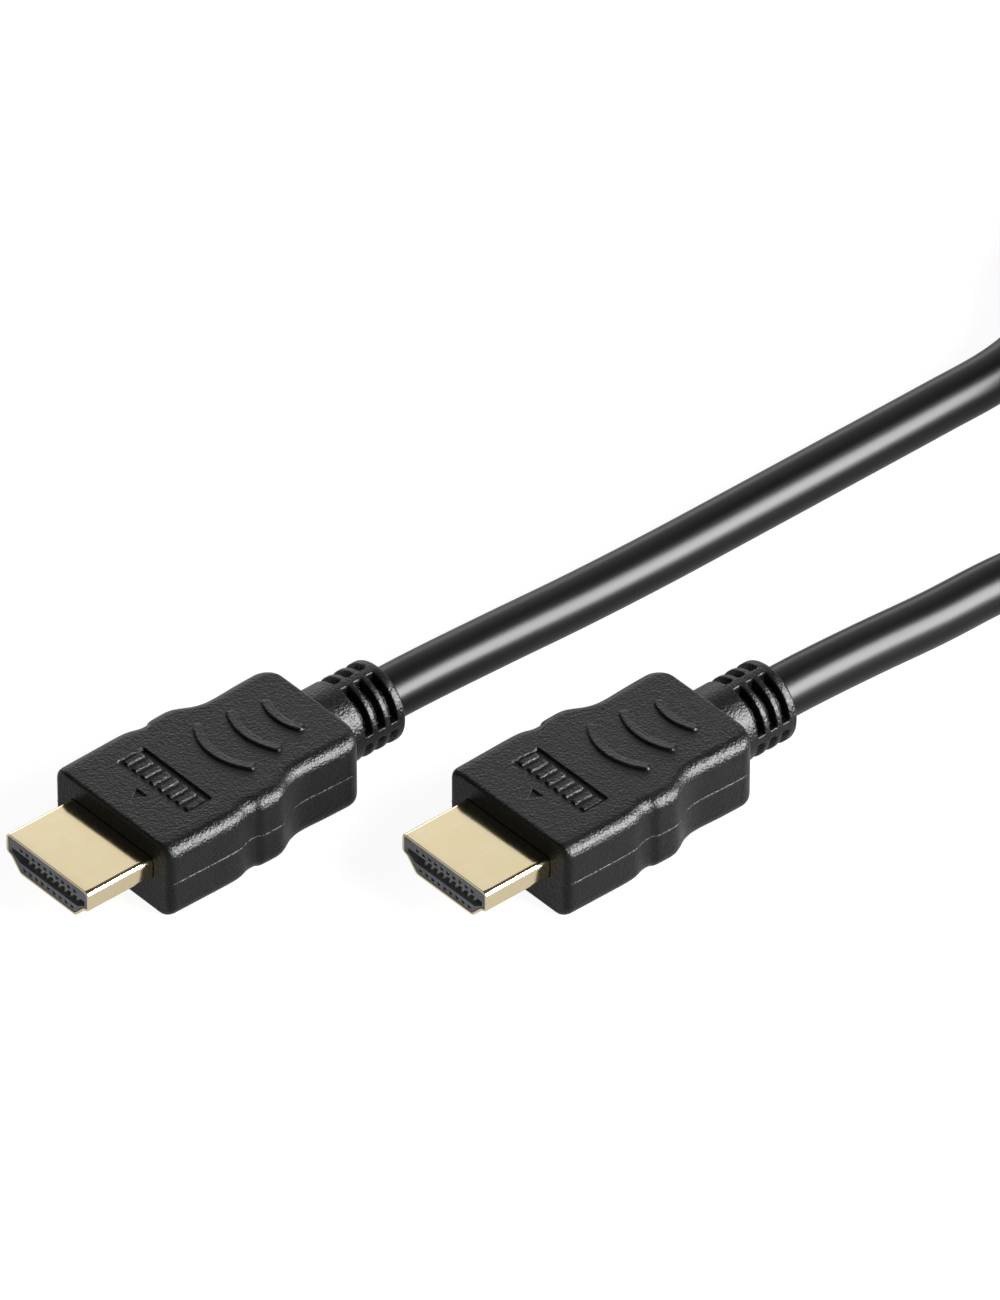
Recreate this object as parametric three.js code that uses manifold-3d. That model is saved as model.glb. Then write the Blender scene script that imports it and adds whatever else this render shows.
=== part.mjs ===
// A video cable with a moulded plug on each end, lying on a level surface. Millimetres, +Z up.
// The plugs point along -Y. The origin is at the bottom centre of the box round the two plugs.

import * as THREE from 'three';
import { mergeVertices } from 'three/addons/utils/BufferGeometryUtils.js';
import Module from 'manifold-3d';

// Metal shell, a D-shaped tube with its flat side up
const shellWidth = 13.9;
const shellHeight = 4.45;
const shellWall = 0.3;
const shellReach = 9.1;
const shellSeat = 4;
const shellSideHeight = 2.525;
const shellStepDrop = 0.3;
const shellWaistWidth = 12.3;
const shellFootWidth = 9.3;
const shellTopRadius = 0.7;
const shellStepRadius = 0.5;
const shellWaistRadius = 0.4;
const shellFootRadius = 0.8;

// Contact block inside the shell, with the slot that takes the socket's tongue
const blockClearance = 0.05;
const blockRecess = 0.1;
const blockRearGap = 0.5;
const slotSideWall = 0.45;
const slotTop = 0.575;
const slotHeight = 1.35;
const slotSideHeight = 0.6;
const slotChamfer = 1.26;
const slotDepth = 8.65;

// Contacts, a row above the slot and a row below it
const contactPitch = 1;
const upperContacts = 10;
const lowerContacts = 9;
const contactWidth = 0.4;
const contactThickness = 0.2;
const contactTip = 0.3;
const contactRearGap = 0.25;
const contactTipLength = 0.3;
const contactBowAt = 0.85;
const contactBowLength = 3.4;
const contactBow = 0.64;
const contactSlope = 0.21;
const upperPocketCentre = 1.065;
const lowerPocketCentre = -1.395;
const pocketWidth = 0.5;
const pocketHeight = 0.47;
const pocketLip = 0.5;
const pocketOverrun = 0.25;

// Moulded grip
const gripLength = 28.8;
const gripHeight = 9.8;
const gripEdgeRadius = 1.65;
const gripFrontRadius = 0.4;
const gripFrontCorner = 0.9;
const gripRearCorner = 2;
const gripSteps = 22;
const frontEdgeSteps = [0, 0.15, 0.45, 1];
const rearCornerSteps = [1, 0.5, 0.2, 0.04, 0];
const shellPocketClearance = 0.1;

// Half-widths of the grip in plan, as distance from its front face and half-width
const gripPlan = [
  [0, 9.8],
  [9.1, 9.92],
  [10.1, 9.82],
  [11.4, 9.42],
  [12.3, 9.38],
  [13.2, 9.68],
  [14.1, 9.76],
  [15.8, 9.72],
  [16.6, 9.42],
  [18.1, 8.62],
  [19.3, 8.25],
  [20.7, 8.14],
  [23.9, 8.28],
  [28.8, 8.38],
];

// Raised thumb arcs on the grip's top, as distance from its front face, half-chord and radius
const arcWidth = 1.2;
const arcHeight = 0.3;
const thumbArcs = [
  [13.9, 5.2, 7.9],
  [18.6, 4.6, 8.3],
  [23.1, 3.5, 6.9],
];

// Sunk panel with plain bars, and the sunk triangle that marks the top side
const panelFrom = 5.5;
const panelLength = 3.9;
const panelWidth = 11.6;
const panelDepth = 0.35;
const panelCorner = 0.3;
const barCount = 8;
const barWidth = 0.7;
const barLength = 2.5;
const barHeight = 0.25;
const markApex = 2.8;
const markLength = 1.5;
const markWidth = 1.8;
const markDepth = 0.25;

// Slotted strain relief, moulded on behind the grip
const reliefLength = 9.1;
const reliefRadius = 4.85;
const reliefEdge = 0.4;
const reliefOverlap = 3;
const reliefSlots = 3;
const reliefSlotPitch = 1.8;
const reliefSlotWidth = 1.05;
const reliefFirstSlot = 3.8;
const reliefSlotFloor = 3.75;
const reliefWeb = 1.1;

// Cord
const cordDiameter = 6.2;
const cordBoreClearance = 0.15;
const cordBoreDepth = 6;
const cordGap = 0.3;
const cordSides = 12;
const cordSteps = 14;

// Places of the two plugs, from the first one's axis and mouth to the second's
const plugOffsetX = 28.1;
const plugOffsetY = 32.3;

// The cord's way from each plug to the hank: straight out, down to the surface and along it
const cordRouteA = [
  [-14.05, 1.65, 4.9],
  [-14.05, 12, 4.85],
  [-14.05, 24, 4.3],
  [-14.05, 36, 3.6],
  [-14.05, 48, 3.22],
  [-14.05, 61, 3.14],
  [-14.05, 76, 3.12],
  [-14.05, 90, 3.12],
  [-14.12, 99, 3.16],
  [-15.23, 106, 3.29],
  [-17.17, 113, 3.5],
  [-19.25, 120, 3.71],
  [-20.8, 127, 3.86],
];
const cordRouteB = [
  [14.05, 33.95, 4.9],
  [14.05, 44, 4.85],
  [14.05, 54, 4.3],
  [14.05, 64, 3.5],
  [14.07, 74, 3.15],
  [15.36, 82, 3.4],
  [18.23, 90, 4.34],
  [22.03, 98, 5.74],
  [26.12, 106, 7.32],
  [29.84, 114, 8.79],
  [32.55, 122, 9.88],
];

// Hank of the cord's spare length: runs two wide and two high, with round ends
const hankCentreX = 6.2;
const hankStartY = 136;
const hankStraight = 30;
const hankInnerRadius = 17.8;
const hankWidth = 12.8;
const hankHeight = 12.8;
const hankEdge = 2.4;

// Twist ties round the hank's two bundles of runs
const tieWidth = 4;
const tieThickness = 0.5;
const tieClearance = 0.3;
const tieCorner = 3;

const roundSegments = 28;
const cornerSegments = 3;
const arcSegments = 8;
const hankSegments = 12;
const hankEdgeSegments = 2;
const contactSteps = 10;
const mergeDistance = 1e-5;
const cutOverrun = 1;

const shellColour = 0xd9c793;
const blockColour = 0x3d3f44;
const contactColour = 0xd8c48a;
const mouldColour = 0x1c1c1e;
const cordColour = 0x101012;
const tieColour = 0x141416;

const wasm = await Module();
wasm.setup();

const shellLength = shellReach + shellSeat;
const blockEnd = shellLength - blockRearGap;
const gripFront = shellReach;
const gripEnd = gripFront + gripLength;
const plugEnd = gripEnd + reliefLength;
const gripTop = gripHeight / 2;
const hankOuterRadius = hankInnerRadius + hankWidth;
const hankBottom = tieThickness + tieClearance;

// Geometry to solid and back, with only positions kept and shared corners merged
function toSolid(geometry) {
  const bare = geometry.clone();
  bare.deleteAttribute('normal');
  bare.deleteAttribute('uv');
  const merged = mergeVertices(bare, mergeDistance);
  const corners = Array.from(merged.index.array);
  const triangles = [];
  for (let i = 0; i < corners.length; i += 3) {
    const [a, b, c] = corners.slice(i, i + 3);
    if (a !== b && b !== c && c !== a) triangles.push(a, b, c);
  }
  return new wasm.Manifold(new wasm.Mesh({
    numProp: 3,
    vertProperties: new Float32Array(merged.attributes.position.array),
    triVerts: new Uint32Array(triangles),
  }));
}

function toGeometry(solid) {
  const mesh = solid.getMesh();
  const geometry = new THREE.BufferGeometry();
  geometry.setAttribute('position', new THREE.BufferAttribute(mesh.vertProperties, 3));
  geometry.setIndex(new THREE.BufferAttribute(mesh.triVerts, 1));
  geometry.computeVertexNormals();
  return geometry;
}

// A closed outline with rounded corners, from [x, y, radius] corners in counter-clockwise order.
// Every edge is moved outward by the offset first.
function roundedShape(corners, offset = 0, hollow = false) {
  const shape = hollow ? new THREE.Path() : new THREE.Shape();
  const count = corners.length;
  corners.forEach(([x, y, radius], i) => {
    const before = corners[(i + count - 1) % count];
    const after = corners[(i + 1) % count];
    const comeIn = new THREE.Vector2(x - before[0], y - before[1]).normalize();
    const goOut = new THREE.Vector2(after[0] - x, after[1] - y).normalize();
    const turn = comeIn.cross(goOut);
    const normalSum = new THREE.Vector2(comeIn.y + goOut.y, -comeIn.x - goOut.x);
    const corner = new THREE.Vector2(x, y).addScaledVector(normalSum, offset / (1 + comeIn.dot(goOut)));
    const bend = Math.max(radius + Math.sign(turn) * offset, 0);
    const reach = bend * Math.tan(comeIn.angleTo(goOut) / 2);
    const start = corner.clone().addScaledVector(comeIn, -reach);
    if (i === 0) shape.moveTo(start.x, start.y);
    else shape.lineTo(start.x, start.y);
    if (bend === 0) return;
    const side = Math.sign(turn);
    const centre = start.clone().addScaledVector(new THREE.Vector2(-comeIn.y, comeIn.x), side * bend);
    const end = corner.clone().addScaledVector(goOut, reach);
    const startAngle = Math.atan2(start.y - centre.y, start.x - centre.x);
    const endAngle = Math.atan2(end.y - centre.y, end.x - centre.x);
    shape.absarc(centre.x, centre.y, bend, startAngle, endAngle, side < 0);
  });
  shape.closePath();
  return shape;
}

function mirrored(halfCorners) {
  const left = halfCorners.map(([x, y, radius]) => [-x, y, radius]);
  return [...halfCorners, ...left.reverse()];
}

function rectangle(width, length, radius = 0) {
  return mirrored([[width / 2, -length / 2, radius], [width / 2, length / 2, radius]]);
}

// Sections are drawn as seen from the plug's mouth, x to the side and y up, and run along Y
function extrudeAlongY(shape, fromY, toY) {
  const geometry = new THREE.ExtrudeGeometry(shape, {
    depth: toY - fromY,
    bevelEnabled: false,
    curveSegments: cornerSegments,
  });
  geometry.rotateX(Math.PI / 2);
  geometry.translate(0, toY, 0);
  return geometry;
}

function extrudeUp(shape, fromZ, toZ, curveSegments = cornerSegments) {
  const geometry = new THREE.ExtrudeGeometry(shape, { depth: toZ - fromZ, bevelEnabled: false, curveSegments });
  geometry.translate(0, 0, fromZ);
  return geometry;
}

function box(sizeX, sizeY, sizeZ, x, y, z) {
  const geometry = new THREE.BoxGeometry(sizeX, sizeY, sizeZ);
  geometry.translate(x, y, z);
  return toSolid(geometry);
}

function lathe(profile) {
  const points = profile.map(([radius, y]) => new THREE.Vector2(radius, y));
  return toSolid(new THREE.LatheGeometry(points, roundSegments));
}

function shellOutline(offset, hollow) {
  const top = shellHeight / 2;
  const shoulder = top - shellSideHeight;
  return roundedShape(mirrored([
    [shellFootWidth / 2, -top, shellFootRadius],
    [shellWaistWidth / 2, shoulder - shellStepDrop, shellWaistRadius],
    [shellWidth / 2, shoulder, shellStepRadius],
    [shellWidth / 2, top, shellTopRadius],
  ]), offset, hollow);
}

function shellGeometry() {
  const section = shellOutline(0);
  section.holes.push(shellOutline(-shellWall, true));
  return extrudeAlongY(section, 0, shellLength);
}

function contactPlaces() {
  const upper = Array.from({ length: upperContacts }, (_, i) => ({
    x: (i - (upperContacts - 1) / 2) * contactPitch,
    z: upperPocketCentre,
    inward: -1,
  }));
  const lower = Array.from({ length: lowerContacts }, (_, i) => ({
    x: (i - (lowerContacts - 1) / 2) * contactPitch,
    z: lowerPocketCentre,
    inward: 1,
  }));
  return [...upper, ...lower];
}

// Each contact's pocket runs through the block, and opens into the slot behind a front lip
function pocket({ x, z, inward }) {
  const slotEdge = inward < 0 ? slotTop : slotTop - slotHeight;
  const backWall = z - inward * pocketHeight / 2;
  const reach = Math.abs(backWall - slotEdge) + pocketOverrun;
  const openFrom = blockRecess + pocketLip;
  const openLength = blockRecess + slotDepth - openFrom;
  const throughLength = blockEnd - blockRecess + 2 * cutOverrun;
  const throughCentre = (blockRecess + blockEnd) / 2;
  const through = box(pocketWidth, throughLength, pocketHeight, x, throughCentre, z);
  const open = box(pocketWidth, openLength, reach, x, openFrom + openLength / 2, backWall + inward * reach / 2);
  return through.add(open);
}

function blockGeometry() {
  const blockOffset = -(shellWall + blockClearance);
  const slotHalfWidth = shellWidth / 2 + blockOffset - slotSideWall;
  const slotFloor = slotTop - slotHeight;
  const slotSection = roundedShape(mirrored([
    [slotHalfWidth - slotChamfer, slotFloor, 0],
    [slotHalfWidth, slotTop - slotSideHeight, 0],
    [slotHalfWidth, slotTop, 0],
  ]));
  let block = toSolid(extrudeAlongY(shellOutline(blockOffset), blockRecess, blockEnd));
  block = block.subtract(toSolid(extrudeAlongY(slotSection, -cutOverrun, blockRecess + slotDepth)));
  for (const place of contactPlaces()) block = block.subtract(pocket(place));
  return toGeometry(block);
}

// A strip bent towards the slot near its tip, drawn in profile and extruded by its width
function contactGeometry({ inward }) {
  const bowPeak = contactTip + contactBowAt;
  const centreline = new THREE.SplineCurve([
    new THREE.Vector2(contactTip, 0),
    new THREE.Vector2(contactTip + contactTipLength, 0),
    new THREE.Vector2(bowPeak, inward * contactBow),
    new THREE.Vector2(bowPeak + contactBowLength / 2, inward * contactSlope),
    new THREE.Vector2(bowPeak + contactBowLength, 0),
    new THREE.Vector2(blockEnd - contactRearGap, 0),
  ]);
  const near = [];
  const far = [];
  for (let i = 0; i <= contactSteps; i += 1) {
    const point = centreline.getPoint(i / contactSteps);
    const along = centreline.getTangent(i / contactSteps);
    const across = new THREE.Vector2(-along.y, along.x).multiplyScalar(contactThickness / 2);
    near.push(point.clone().sub(across));
    far.push(point.clone().add(across));
  }
  const profile = new THREE.Shape([...near, ...far.reverse()]);
  const geometry = new THREE.ExtrudeGeometry(profile, { depth: contactWidth, bevelEnabled: false });
  const yAxis = new THREE.Vector3(0, 1, 0);
  const zAxis = new THREE.Vector3(0, 0, 1);
  const xAxis = new THREE.Vector3(1, 0, 0);
  geometry.applyMatrix4(new THREE.Matrix4().makeBasis(yAxis, zAxis, xAxis));
  geometry.translate(-contactWidth / 2, 0, 0);
  return geometry;
}

// How far a rounded edge has drawn back at a given depth behind its face
function edgeInset(depth, radius) {
  if (depth >= radius) return 0;
  return radius - Math.sqrt(radius ** 2 - (radius - depth) ** 2);
}

// Half-width at a distance from the grip's front, on the plan's outline
function planHalfWidth(outline, along) {
  const next = Math.max(outline.findIndex((point) => point.x >= along), 1);
  const from = outline[next - 1];
  const to = outline[next];
  return THREE.MathUtils.mapLinear(along, from.x, to.x, from.y, to.y);
}

function gripSections() {
  const plan = new THREE.SplineCurve(gripPlan.map(([along, half]) => new THREE.Vector2(along, half)));
  const outline = plan.getPoints(gripSteps);
  const frontDepths = frontEdgeSteps.map((share) => share * gripFrontRadius);
  const rearDepths = rearCornerSteps.map((share) => gripLength - share * gripRearCorner);
  const middle = outline.map((point) => point.x)
    .filter((along) => along > gripFrontCorner + gripFrontRadius && along < rearDepths[0] - gripFrontRadius);
  return [...frontDepths, gripFrontCorner, ...middle, ...rearDepths].map((along) => {
    const frontInset = edgeInset(along, gripFrontCorner);
    const rearInset = edgeInset(gripLength - along, gripRearCorner);
    const topInset = edgeInset(along, gripFrontRadius);
    return {
      y: gripFront + along,
      halfWidth: planHalfWidth(outline, along) - frontInset - rearInset,
      halfHeight: gripTop - topInset,
      radius: gripEdgeRadius - topInset,
    };
  });
}

// A closed solid through rounded rectangles that stand across Y
function loft(sections) {
  const ring = 4 * (cornerSegments + 1);
  const positions = [];
  for (const { y, halfWidth, halfHeight, radius } of sections) {
    for (let corner = 0; corner < 4; corner += 1) {
      const signX = corner === 0 || corner === 3 ? 1 : -1;
      const signZ = corner < 2 ? 1 : -1;
      for (let step = 0; step <= cornerSegments; step += 1) {
        const angle = (corner + step / cornerSegments) * Math.PI / 2;
        const x = signX * (halfWidth - radius) + radius * Math.cos(angle);
        const z = signZ * (halfHeight - radius) + radius * Math.sin(angle);
        positions.push(x, y, z);
      }
    }
  }
  const index = [];
  for (let s = 0; s < sections.length - 1; s += 1) {
    for (let i = 0; i < ring; i += 1) {
      const here = s * ring + i;
      const next = s * ring + (i + 1) % ring;
      index.push(here, here + ring, next, next, here + ring, next + ring);
    }
  }
  const last = (sections.length - 1) * ring;
  for (let i = 1; i < ring - 1; i += 1) {
    index.push(0, i, i + 1);
    index.push(last, last + i + 1, last + i);
  }
  const geometry = new THREE.BufferGeometry();
  geometry.setAttribute('position', new THREE.Float32BufferAttribute(positions, 3));
  geometry.setIndex(index);
  return geometry;
}

function thumbArc([front, halfChord, radius]) {
  const centreY = gripFront + front + radius;
  const spread = Math.asin(halfChord / radius);
  const start = -Math.PI / 2 - spread;
  const end = -Math.PI / 2 + spread;
  const shape = new THREE.Shape();
  shape.absarc(0, centreY, radius, start, end, false);
  shape.absarc(0, centreY, radius - arcWidth, end, start, true);
  shape.closePath();
  return toSolid(extrudeUp(shape, gripTop - gripEdgeRadius, gripTop + arcHeight, arcSegments));
}

function panel() {
  const shape = roundedShape(rectangle(panelWidth, panelLength, panelCorner));
  const cut = extrudeUp(shape, gripTop - panelDepth, gripTop + cutOverrun);
  cut.translate(0, gripFront + panelFrom + panelLength / 2, 0);
  return toSolid(cut);
}

function panelBars() {
  const centreY = gripFront + panelFrom + panelLength / 2;
  const pitch = panelWidth / barCount;
  const floor = gripTop - panelDepth;
  const tall = barHeight + panelDepth;
  return Array.from({ length: barCount }, (_, i) => {
    const x = (i - (barCount - 1) / 2) * pitch;
    return box(barWidth, barLength, tall, x, centreY, floor + barHeight - tall / 2);
  });
}

function topMark() {
  const apex = gripFront + markApex;
  const shape = roundedShape([
    [0, apex, 0],
    [markWidth / 2, apex + markLength, 0],
    [-markWidth / 2, apex + markLength, 0],
  ]);
  return toSolid(extrudeUp(shape, gripTop - markDepth, gripTop + cutOverrun));
}

function relief() {
  return lathe([
    [0, gripEnd - reliefOverlap],
    [reliefRadius, gripEnd - reliefOverlap],
    [reliefRadius, plugEnd - reliefEdge],
    [reliefRadius - reliefEdge, plugEnd],
    [0, plugEnd],
  ]);
}

// One row of slots: a ring groove, left whole at the top, bottom and both sides
function reliefSlotRow(row) {
  const centreY = gripEnd + reliefFirstSlot + row * reliefSlotPitch;
  const near = centreY - reliefSlotWidth / 2;
  const far = centreY + reliefSlotWidth / 2;
  const outside = reliefRadius + cutOverrun;
  const span = 2 * (outside + cutOverrun);
  const groove = lathe([
    [reliefSlotFloor, near],
    [outside, near],
    [outside, far],
    [reliefSlotFloor, far],
    [reliefSlotFloor, near],
  ]);
  const upright = box(reliefWeb, 2 * reliefSlotWidth, span, 0, centreY, 0);
  const level = box(span, 2 * reliefSlotWidth, reliefWeb, 0, centreY, 0);
  return groove.subtract(upright).subtract(level);
}

function cordBore() {
  const radius = cordDiameter / 2 + cordBoreClearance;
  return lathe([
    [0, plugEnd - cordBoreDepth],
    [radius, plugEnd - cordBoreDepth],
    [radius, plugEnd + cutOverrun],
    [0, plugEnd + cutOverrun],
  ]);
}

function bodyGeometry() {
  const pocketEnd = shellLength + shellPocketClearance;
  const shellPocket = extrudeAlongY(shellOutline(shellPocketClearance), gripFront - cutOverrun, pocketEnd);
  let body = toSolid(loft(gripSections()));
  for (const arc of thumbArcs) body = body.add(thumbArc(arc));
  body = body.subtract(panel());
  for (const bar of panelBars()) body = body.add(bar);
  body = body.subtract(topMark()).subtract(toSolid(shellPocket)).add(relief()).subtract(cordBore());
  for (let row = 0; row < reliefSlots; row += 1) body = body.subtract(reliefSlotRow(row));
  return toGeometry(body);
}

function hankOutline(radius, hollow) {
  const shape = hollow ? new THREE.Path() : new THREE.Shape();
  const farY = hankStartY + hankStraight;
  shape.absarc(hankCentreX, hankStartY, radius, Math.PI, 2 * Math.PI, false);
  shape.absarc(hankCentreX, farY, radius, 0, Math.PI, false);
  shape.closePath();
  return shape;
}

// The bundle's round-edged outer shape
function hankGeometry() {
  const shape = hankOutline(hankOuterRadius - hankEdge);
  shape.holes.push(hankOutline(hankInnerRadius + hankEdge, true));
  const geometry = new THREE.ExtrudeGeometry(shape, {
    depth: hankHeight - 2 * hankEdge,
    bevelThickness: hankEdge,
    bevelSize: hankEdge,
    bevelSegments: hankEdgeSegments,
    curveSegments: hankSegments,
  });
  geometry.translate(0, 0, hankBottom + hankEdge);
  return geometry;
}

// What the cords end short of: the hank's outline, straight-sided, with the gap round it
function hankSpace() {
  const outline = hankOutline(hankOuterRadius + cordGap);
  return toSolid(extrudeUp(outline, -cutOverrun, hankBottom + hankHeight + cutOverrun, hankSegments));
}

function cordGeometry(route) {
  const path = new THREE.CatmullRomCurve3(route.map(([x, y, z]) => new THREE.Vector3(x, y, z)));
  const section = new THREE.Shape().absarc(0, 0, cordDiameter / 2, 0, 2 * Math.PI);
  const tube = new THREE.ExtrudeGeometry(section, {
    steps: cordSteps,
    curveSegments: cordSides / 2,
    extrudePath: path,
  });
  return toGeometry(toSolid(tube).subtract(hankSpace()));
}

function tieGeometry() {
  const inner = hankWidth + 2 * tieClearance;
  const innerHeight = hankHeight + 2 * tieClearance;
  const section = roundedShape(rectangle(inner, innerHeight, tieCorner), tieThickness);
  section.holes.push(roundedShape(rectangle(inner, innerHeight, tieCorner), 0, true));
  return extrudeAlongY(section, -tieWidth / 2, tieWidth / 2);
}

function finish(name, color, roughness, metalness) {
  return new THREE.MeshStandardMaterial({ name, color, roughness, metalness });
}

function piece(name, geometry, material) {
  const mesh = new THREE.Mesh(geometry, material);
  mesh.name = name;
  return mesh;
}

function plug(name, x, mouthY) {
  const group = new THREE.Group();
  group.add(piece(`${name}_shell`, shellGeometry(), finish('gilt shell', shellColour, 0.28, 1)));
  group.add(piece(`${name}_contact_block`, blockGeometry(), finish('block plastic', blockColour, 0.55, 0)));
  contactPlaces().forEach((place, i) => {
    const number = String(i + 1).padStart(2, '0');
    const gilt = finish('gilt contact', contactColour, 0.3, 1);
    const contact = piece(`${name}_contact_${number}`, contactGeometry(place), gilt);
    contact.position.set(place.x, 0, place.z);
    group.add(contact);
  });
  group.add(piece(`${name}_body`, bodyGeometry(), finish('moulded grip', mouldColour, 0.5, 0)));
  group.position.set(x, mouthY, gripTop);
  return group;
}

function tie(name, side) {
  const band = piece(name, tieGeometry(), finish('tie', tieColour, 0.45, 0));
  const bundleX = hankCentreX + side * (hankInnerRadius + hankWidth / 2);
  band.position.set(bundleX, hankStartY + hankStraight / 2, hankBottom + hankHeight / 2);
  return band;
}

const cordFinish = finish('cord jacket', cordColour, 0.25, 0);
const firstMouth = -(plugEnd + plugOffsetY) / 2;

const cable = new THREE.Group();
cable.add(plug('plug_a', -plugOffsetX / 2, firstMouth));
cable.add(plug('plug_b', plugOffsetX / 2, firstMouth + plugOffsetY));
cable.add(piece('cord_a', cordGeometry(cordRouteA), cordFinish));
cable.add(piece('cord_b', cordGeometry(cordRouteB), cordFinish));
cable.add(piece('cord_hank', hankGeometry(), cordFinish));
cable.add(tie('tie_left', -1));
cable.add(tie('tie_right', 1));

export default cable;
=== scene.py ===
# A video cable with a moulded plug on each end: its looks, light and camera.
# Sizes in the dictionaries are millimetres. They turn into metres where a mesh is made. +Z is up.

import math

import bmesh
import bpy
import numpy as np
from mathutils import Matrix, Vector


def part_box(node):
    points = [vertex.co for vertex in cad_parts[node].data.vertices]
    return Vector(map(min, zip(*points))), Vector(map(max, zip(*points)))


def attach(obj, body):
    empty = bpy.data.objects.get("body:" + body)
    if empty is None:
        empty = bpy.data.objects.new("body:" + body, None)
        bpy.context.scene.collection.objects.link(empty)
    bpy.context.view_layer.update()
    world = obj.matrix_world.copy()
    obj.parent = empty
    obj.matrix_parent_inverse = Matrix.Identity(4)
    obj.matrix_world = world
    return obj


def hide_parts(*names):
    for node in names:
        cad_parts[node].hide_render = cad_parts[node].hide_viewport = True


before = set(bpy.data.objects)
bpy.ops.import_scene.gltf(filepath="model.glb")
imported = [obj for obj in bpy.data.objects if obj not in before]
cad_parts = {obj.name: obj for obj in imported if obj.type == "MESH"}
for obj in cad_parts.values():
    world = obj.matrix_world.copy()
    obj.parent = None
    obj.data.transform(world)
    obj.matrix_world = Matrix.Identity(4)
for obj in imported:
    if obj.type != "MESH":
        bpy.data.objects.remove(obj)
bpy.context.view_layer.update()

mm = 0.001
print("frame loaded")


# Camera, at the photograph's angle and frame

camera = {
    "azimuth": 49.0,
    "elevation": 38.8,
    "distance": 1600,
    "frameHeight": 140.27,
    "fromMouth": (48.85, 24.7),  # the frame's middle from the first plug's mouth: right and up
    "sensor": 36.0,
}


def makeCamera(spec):
    a, e = math.radians(spec["azimuth"]), math.radians(spec["elevation"])
    back = Vector((math.sin(a) * math.cos(e), -math.cos(a) * math.cos(e), math.sin(e)))
    right = Vector((math.cos(a), math.sin(a), 0))
    up = back.cross(right)
    low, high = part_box("plug_a_shell")
    mouth = Vector(((low[0] + high[0]) / 2, low[1], (low[2] + high[2]) / 2))
    target = mouth + (right * spec["fromMouth"][0] + up * spec["fromMouth"][1]) * mm
    data = bpy.data.cameras.new("camera")
    data.sensor_width = spec["sensor"]
    data.lens = spec["sensor"] * spec["distance"] / spec["frameHeight"]
    data.clip_start, data.clip_end = 0.05, 20
    thing = bpy.data.objects.new("camera", data)
    thing.location = target + back * spec["distance"] * mm
    thing.rotation_mode = "QUATERNION"
    thing.rotation_quaternion = (-back).to_track_quat("-Z", "Y")
    bpy.context.collection.objects.link(thing)
    bpy.context.scene.camera = thing


makeCamera(camera)
print("camera set")


# Shader maths: a socket that takes part in sums

class Wire:
    def __init__(self, socket):
        self.socket = socket

    def make(self, kind, settings=None, inputs=None, output=0):  # any node, its settings first
        tree = self.socket.id_data
        node = tree.nodes.new("ShaderNode" + kind)
        for name, value in (settings or {}).items():
            setattr(node, name, value)
        for name, value in (inputs or {}).items():
            if isinstance(value, Wire):
                tree.links.new(value.socket, node.inputs[name])
            else:
                node.inputs[name].default_value = value
        return Wire(node.outputs[output])

    def sum(self, operation, first, second):
        return self.make("Math", {"operation": operation}, {0: first, 1: second})

    def __add__(self, other): return self.sum("ADD", self, other)
    def __radd__(self, other): return self.sum("ADD", other, self)
    def __sub__(self, other): return self.sum("SUBTRACT", self, other)
    def __rsub__(self, other): return self.sum("SUBTRACT", other, self)
    def __mul__(self, other): return self.sum("MULTIPLY", self, other)
    def __rmul__(self, other): return self.sum("MULTIPLY", other, self)

    def ramp(self, low, high):  # 0 at low, 1 at high, eased
        return self.make("MapRange", {"interpolation_type": "SMOOTHSTEP"},
                         {"Value": self, "From Min": low, "From Max": high})

    def noise(self, place, size, detail=2.0, roughness=0.5):  # size in millimetres
        return self.make("TexNoise", None, {"Vector": place, "Scale": 1 / (size * mm), "Detail": detail,
                                            "Roughness": roughness})

    def cells(self, place, size, smooth=0.6):
        return self.make("TexVoronoi", {"feature": "SMOOTH_F1"},
                         {"Vector": place, "Scale": 1 / (size * mm), "Smoothness": smooth})

    def blend(self, first, second):  # two colours, by this factor
        return self.make("Mix", {"data_type": "RGBA"}, {"Factor": self, 6: first, 7: second}, 2)

    def bump(self, strength, depth):  # depth in millimetres
        return self.make("Bump", None, {"Strength": strength, "Distance": depth * mm, "Height": self},
                         "Normal")


def newMaterial(name, fixed):
    material = bpy.data.materials.new(name)
    material.use_nodes = True
    shader = material.node_tree.nodes["Principled BSDF"]
    for socket, value in fixed.items():
        shader.inputs[socket].default_value = value
    return material, Wire(shader.outputs[0])


def feed(shader, **wires):  # links what varies into the material's own shader
    node = shader.socket.node
    for name, wire in wires.items():
        shader.socket.id_data.links.new(wire.socket, node.inputs[name.replace("_", " ")])


# Helpers for meshes

def newObject(name, points, faces, material, smoothAngle=50, vectors=None):
    mesh = bpy.data.meshes.new(name)
    mesh.from_pydata((np.asarray(points) * mm).tolist(), [], faces)
    for title, values in (vectors or {}).items():
        layer = mesh.attributes.new(title, "FLOAT_VECTOR", "POINT")
        layer.data.foreach_set("vector", (np.asarray(values, np.float32) * mm).ravel())
    work = bmesh.new()
    work.from_mesh(mesh)
    bmesh.ops.remove_doubles(work, verts=work.verts, dist=1e-7)
    bmesh.ops.recalc_face_normals(work, faces=work.faces)
    work.to_mesh(mesh)
    work.free()
    mesh.shade_smooth()
    mesh.set_sharp_from_angle(angle=math.radians(smoothAngle))
    mesh.materials.append(material)
    thing = bpy.data.objects.new(name, mesh)
    bpy.context.collection.objects.link(thing)
    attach(thing, "root")
    return thing


def ease(value):
    value = np.clip(value, 0, 1)
    return value * value * (3 - 2 * value)


def along(points):  # distance along a line of points
    points = np.asarray(points, float)
    steps = np.linalg.norm(np.diff(points, axis=0), axis=1)
    return np.concatenate([[0], np.cumsum(steps)])


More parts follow.
